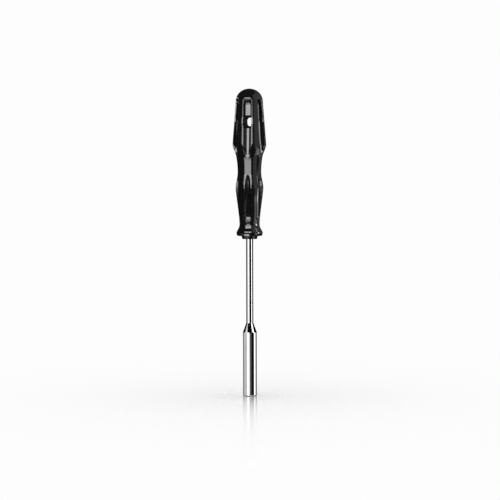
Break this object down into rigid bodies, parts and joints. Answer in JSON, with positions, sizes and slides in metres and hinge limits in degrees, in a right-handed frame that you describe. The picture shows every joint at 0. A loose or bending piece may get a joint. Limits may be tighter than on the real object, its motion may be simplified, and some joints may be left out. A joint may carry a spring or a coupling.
{
  "type": "nut driver",
  "caption": "Nut driver: a fluted black plastic handle with a hanging hole, on a plated round shank that ends in a deep hexagon socket",
  "frame": {"origin": "centre of the socket's mouth, on the surface that the tool stands on", "axes": "+Z runs along the tool's axis from the socket to the handle; the hanging hole runs along Y, and the side that the picture shows faces -Y"},
  "size_m": [0.0216, 0.0208, 0.195],
  "materials": {
    "handle_plastic": "glossy black moulded plastic",
    "shank_plating": "bright plating on a ground round bar",
    "socket_plating": "bright plating on a turned socket, with fine turning marks"
  },
  "bodies": {
    "root": {"handle": "handle_plastic", "shank": "shank_plating", "socket": "socket_plating"}
  },
  "joints": []
}
